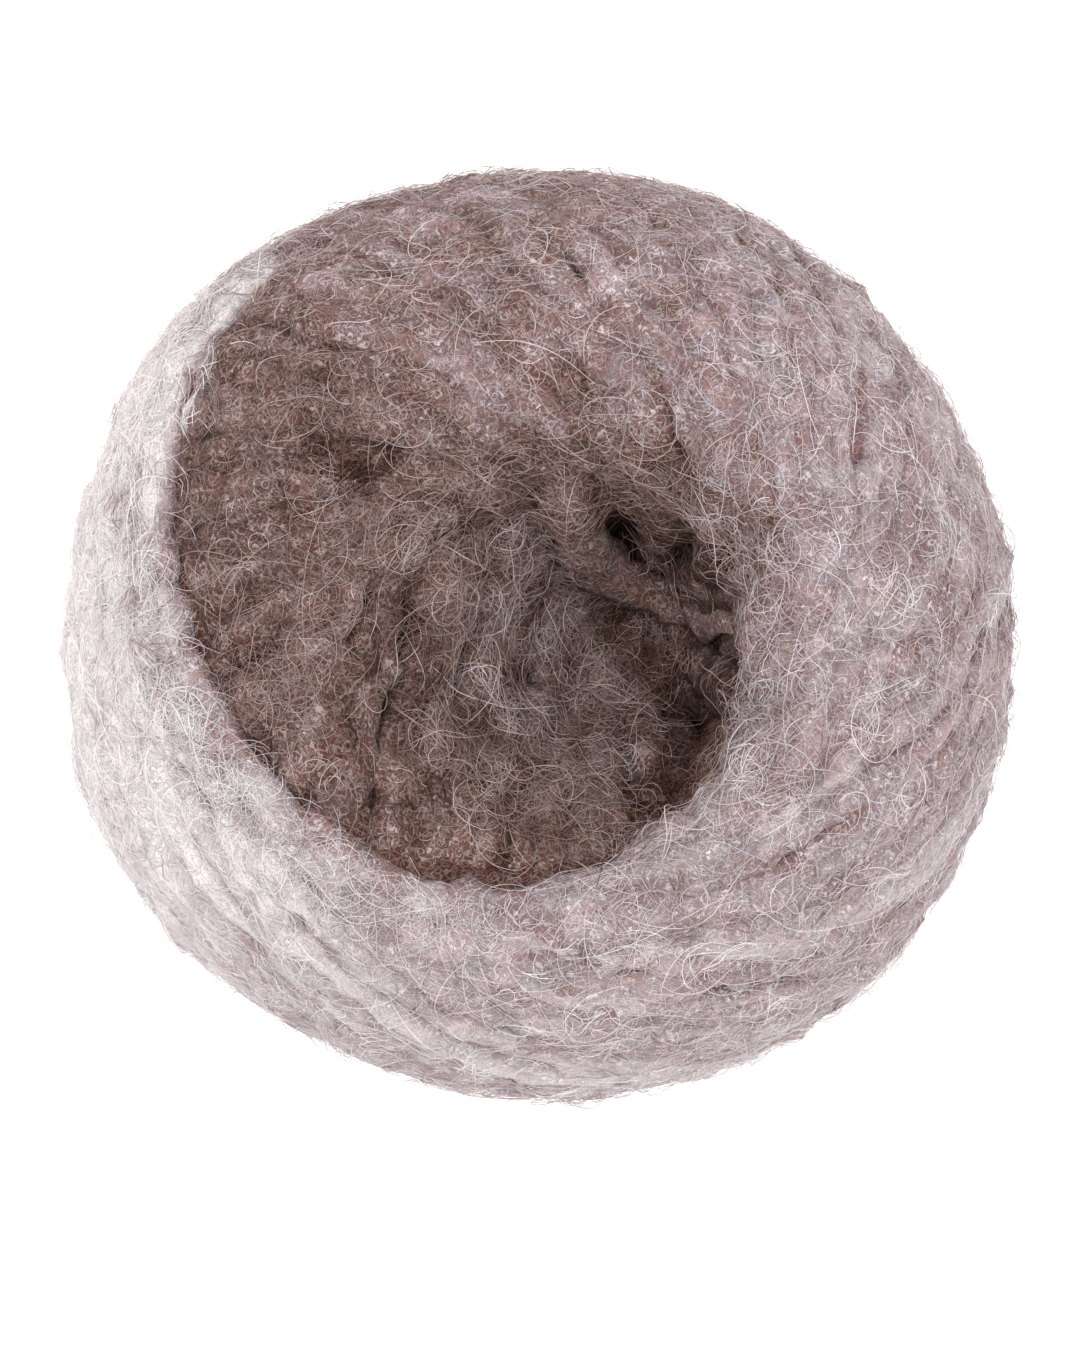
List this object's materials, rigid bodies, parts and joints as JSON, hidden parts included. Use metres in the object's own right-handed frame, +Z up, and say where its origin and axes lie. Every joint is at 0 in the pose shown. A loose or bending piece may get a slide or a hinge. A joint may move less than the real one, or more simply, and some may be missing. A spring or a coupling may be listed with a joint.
{
  "type": "ball of brushed alpaca yarn",
  "caption": "Ball of brushed alpaca yarn, wound round a hollow centre, its colour running from dark brown through beige to cream.",
  "frame": {"origin": "middle of the ball's flat underside, under the middle of its box", "axes": "+Z up through the ball towards the end with the hollow; +X towards the side that the hollow lies nearer to"},
  "size_m": [0.11, 0.108, 0.08],
  "materials": {
    "wool": "brushed and fuzzy, dark brown through pinkish beige to cream"
  },
  "bodies": {
    "root": {"yarn_ball": "wool"}
  },
  "joints": []
}
